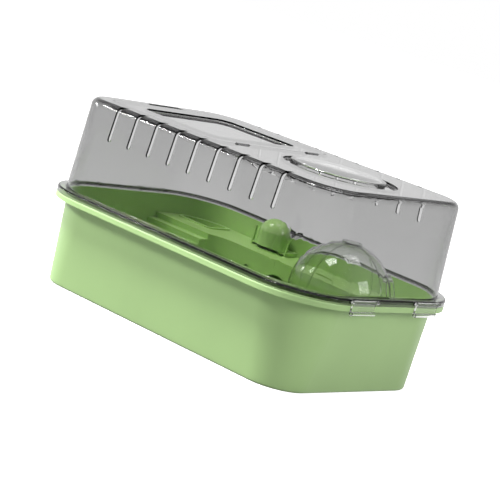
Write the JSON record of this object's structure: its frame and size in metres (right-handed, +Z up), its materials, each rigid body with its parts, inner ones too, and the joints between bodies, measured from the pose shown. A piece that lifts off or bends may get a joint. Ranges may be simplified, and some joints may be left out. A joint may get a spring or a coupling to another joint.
{
  "type": "hamster cage",
  "caption": "Small-pet cage: tapered tub under a clear slotted cover with hinged hatch, lift-off round lid and side clips, furnished with shelf, stairs, feeder and domed house.",
  "frame": {"origin": "middle of the tub's underside, on the surface it stands on", "axes": "+X along the long side towards the round lid, +Y to the back where the shelf is, +Z up"},
  "size_m": [0.4812, 0.319, 0.2414],
  "materials": {
    "tub_green": "satin moulded pale green plastic",
    "inside_green": "satin moulded green plastic",
    "clear_smoke": "polished clear plastic with a slight grey smoke",
    "clear": "polished clear plastic",
    "lid_frost": "pale clear plastic",
    "feeder_green": "glossy translucent green plastic",
    "pin_steel": "drawn steel wire"
  },
  "bodies": {
    "tub": {"base_tub": "tub_green", "shelf_left": "inside_green", "shelf_right": "inside_green", "stair_flight": "inside_green", "feeder_bracket": "inside_green", "feeder_dish": "inside_green", "dome_tray": "inside_green"},
    "cover": {"cover_shell": "clear_smoke", "hatch_pin_front": "pin_steel", "hatch_pin_back": "pin_steel"},
    "hatch": {"top_hatch": "clear_smoke"},
    "lid": {"round_lid": "lid_frost"},
    "bowl": {"food_bowl": "inside_green"},
    "tank": {"feeder_tank": "feeder_green"},
    "tank_cap": {"feeder_cap": "feeder_green"},
    "dome": {"dome_shell": "clear", "dome_vent_cap": "clear"},
    "clip_left_front": {"clip_left_front": "clear_smoke"},
    "clip_left_back": {"clip_left_back": "clear_smoke"},
    "clip_right_front": {"clip_right_front": "clear_smoke"},
    "clip_right_back": {"clip_right_back": "clear_smoke"}
  },
  "joints": [
    {"name": "cover_lift", "type": "slide", "parent": "tub", "child": "cover", "axis": [0, 0, 1], "range_m": [0, 0.07]},
    {"name": "hatch_hinge", "type": "hinge", "parent": "cover", "child": "hatch", "pos_m": [0.0062, 0, 0.2364], "axis": [0, 1, 0], "range_deg": [0, 110]},
    {"name": "lid_lift", "type": "slide", "parent": "cover", "child": "lid", "axis": [0, 0, 1], "range_m": [0, 0.025]},
    {"name": "bowl_lift", "type": "slide", "parent": "tub", "child": "bowl", "axis": [0, 0, 1], "range_m": [0, 0.03]},
    {"name": "tank_lift", "type": "slide", "parent": "tub", "child": "tank", "axis": [0, 0, 1], "range_m": [0, 0.045]},
    {"name": "tank_cap_lift", "type": "slide", "parent": "tank", "child": "tank_cap", "axis": [0, 0, 1], "range_m": [0, 0.02]},
    {"name": "dome_lift", "type": "slide", "parent": "tub", "child": "dome", "axis": [0, 0, 1], "range_m": [0, 0.055]},
    {"name": "clip_left_front_swing", "type": "hinge", "parent": "cover", "child": "clip_left_front", "pos_m": [-0.2377, -0.061, 0.1189], "axis": [0, 1, 0], "range_deg": [0, 100]},
    {"name": "clip_left_back_swing", "type": "hinge", "parent": "cover", "child": "clip_left_back", "pos_m": [-0.2377, 0.061, 0.1189], "axis": [0, 1, 0], "range_deg": [0, 100]},
    {"name": "clip_right_front_swing", "type": "hinge", "parent": "cover", "child": "clip_right_front", "pos_m": [0.2377, -0.061, 0.1189], "axis": [0, -1, 0], "range_deg": [0, 100]},
    {"name": "clip_right_back_swing", "type": "hinge", "parent": "cover", "child": "clip_right_back", "pos_m": [0.2377, 0.061, 0.1189], "axis": [0, -1, 0], "range_deg": [0, 100]}
  ]
}
